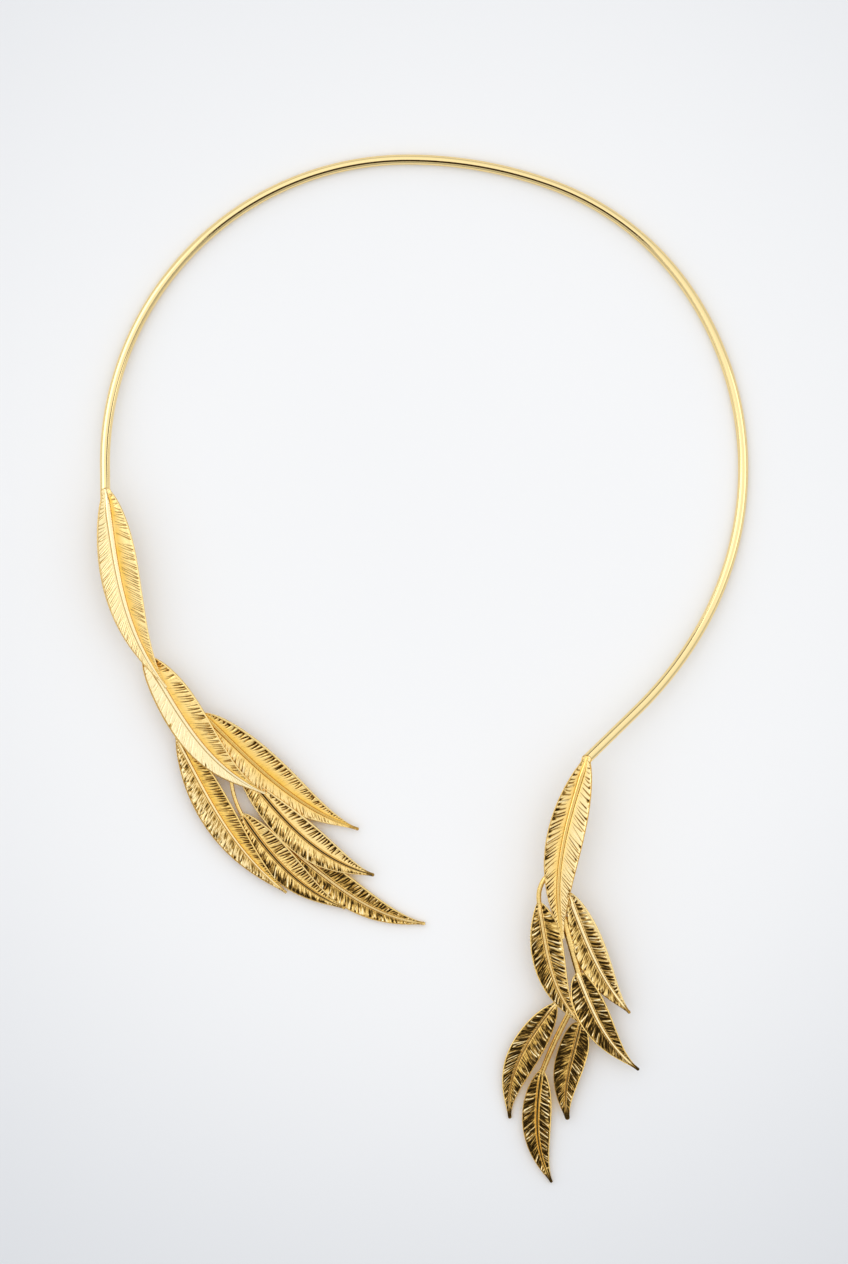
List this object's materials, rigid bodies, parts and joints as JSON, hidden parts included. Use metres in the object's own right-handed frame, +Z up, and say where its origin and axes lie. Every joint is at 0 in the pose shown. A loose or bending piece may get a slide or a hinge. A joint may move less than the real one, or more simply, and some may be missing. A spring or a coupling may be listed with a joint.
{
  "type": "leaf choker",
  "caption": "Rigid open neck wire with a spray of overlapping cast leaves soldered to each end, one sweeping inward and one hanging below it.",
  "frame": {"origin": "middle of the footprint of the choker as it lies on its back, on the surface it lies on", "axes": "+Z up from the surface, toward the leaves' veined fronts; +Y toward the nape of the wire; +X toward the side of the hanging spray"},
  "size_m": [0.135, 0.2136, 0.0095],
  "materials": {
    "wire_gold": "polished gold-plated round wire",
    "left_leaf_gold": "polished gold-plated casting, veined front, plain back",
    "right_leaf_gold": "polished gold-plated casting, veined front, plain back"
  },
  "bodies": {
    "root": {"neck_wire": "wire_gold", "left_spray": "left_leaf_gold", "right_spray": "right_leaf_gold"}
  },
  "joints": []
}
